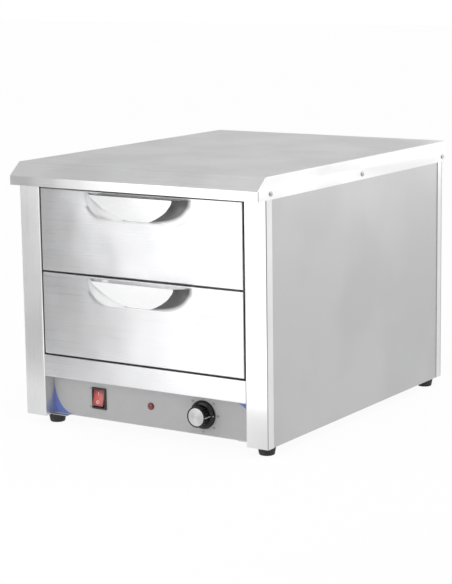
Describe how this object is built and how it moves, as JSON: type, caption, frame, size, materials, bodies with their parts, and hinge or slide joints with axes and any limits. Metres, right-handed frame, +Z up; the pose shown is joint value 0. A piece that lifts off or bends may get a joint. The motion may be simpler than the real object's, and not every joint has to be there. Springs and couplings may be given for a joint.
{
  "type": "countertop warming drawer unit",
  "caption": "Countertop food warmer with stacked warming drawers, scoop pulls and a recessed control strip under them.",
  "frame": {"origin": "floor level under the middle of the bounding box", "axes": "+X to the right seen from the front, +Y to the back, +Z up; the drawers open towards -Y"},
  "size_m": [0.4864, 0.644, 0.443],
  "materials": {
    "shell_steel": "brushed stainless steel",
    "liner_steel": "mill-finish stainless steel",
    "pan_steel": "satin pressed stainless steel",
    "slide_zinc": "zinc plated",
    "screw_steel": "polished stainless steel",
    "heater_sheath": "heat-tinted sheath",
    "capillary_copper": "bare copper",
    "mineral_wool": "loose fibre board",
    "foot_rubber": "matt",
    "knob_plastic": "black, glossy",
    "disc_aluminium": "spun, bright",
    "switch_plastic": "black",
    "rocker_red": "lit red, translucent",
    "lens_red": "translucent red",
    "lamp_plastic": "dark red",
    "thermostat_case": "plated case",
    "terminal_plastic": "off-white",
    "wire_sleeve": "silicone sleeve",
    "gland_plastic": "black nylon"
  },
  "bodies": {
    "cabinet": {"top_cover": "shell_steel", "left_side_panel": "shell_steel", "right_side_panel": "shell_steel", "left_front_post": "shell_steel", "right_front_post": "shell_steel", "rear_cover": "shell_steel", "base_pan": "shell_steel", "lower_fascia": "shell_steel", "head_rail": "shell_steel", "middle_rail": "shell_steel", "control_panel": "shell_steel", "inner_liner": "liner_steel", "insulation_left": "mineral_wool", "insulation_right": "mineral_wool", "insulation_top": "mineral_wool", "insulation_rear": "mineral_wool", "heating_element": "heater_sheath", "element_brackets": "liner_steel", "capillary_bulb": "capillary_copper", "capillary_tube": "capillary_copper", "thermostat_body": "thermostat_case", "rocker_housing": "switch_plastic", "pilot_lamp_holder": "lamp_plastic", "pilot_lamp_lens": "lens_red", "terminal_block": "terminal_plastic", "wiring_loom": "wire_sleeve", "cable_gland": "gland_plastic", "gland_locknut": "gland_plastic", "front_left_foot": "foot_rubber", "front_right_foot": "foot_rubber", "rear_left_foot": "foot_rubber", "rear_right_foot": "foot_rubber", "foot_screws": "screw_steel", "cover_screws": "screw_steel", "rear_screws": "screw_steel", "lower_slide_rails": "slide_zinc", "upper_slide_rails": "slide_zinc"},
    "lower_drawer": {"lower_front_skin": "shell_steel", "lower_front_inner": "liner_steel", "lower_front_insulation": "mineral_wool", "lower_handle": "shell_steel", "lower_pan_rails": "liner_steel", "lower_rear_rail": "liner_steel", "lower_pan": "pan_steel", "lower_slide_inners": "slide_zinc"},
    "upper_drawer": {"upper_front_skin": "shell_steel", "upper_front_inner": "liner_steel", "upper_front_insulation": "mineral_wool", "upper_handle": "shell_steel", "upper_pan_rails": "liner_steel", "upper_rear_rail": "liner_steel", "upper_pan": "pan_steel", "upper_slide_inners": "slide_zinc"},
    "lower_slides": {"lower_slide_middles": "slide_zinc"},
    "upper_slides": {"upper_slide_middles": "slide_zinc"},
    "knob": {"control_knob": "knob_plastic", "knob_disc": "disc_aluminium", "thermostat_shaft": "screw_steel"},
    "rocker": {"switch_rocker": "rocker_red"}
  },
  "joints": [
    {"name": "lower_drawer_slide", "type": "slide", "parent": "cabinet", "child": "lower_drawer", "axis": [0, -1, 0], "range_m": [0, 0.45]},
    {"name": "upper_drawer_slide", "type": "slide", "parent": "cabinet", "child": "upper_drawer", "axis": [0, -1, 0], "range_m": [0, 0.45]},
    {"name": "lower_middle_slide", "type": "slide", "parent": "cabinet", "child": "lower_slides", "axis": [0, -1, 0], "range_m": [0, 0.225]},
    {"name": "upper_middle_slide", "type": "slide", "parent": "cabinet", "child": "upper_slides", "axis": [0, -1, 0], "range_m": [0, 0.225]},
    {"name": "knob_turn", "type": "hinge", "parent": "cabinet", "child": "knob", "pos_m": [0.1025, -0.273, 0.05], "axis": [0, 1, 0], "range_deg": [-90, 180]},
    {"name": "rocker_tip", "type": "hinge", "parent": "cabinet", "child": "rocker", "pos_m": [-0.105, -0.269, 0.0514], "axis": [1, 0, 0], "range_deg": [0, 22]}
  ],
  "couplings": [
    {"joint": "lower_middle_slide", "follows": "lower_drawer_slide", "ratio": 0.5},
    {"joint": "upper_middle_slide", "follows": "upper_drawer_slide", "ratio": 0.5}
  ]
}
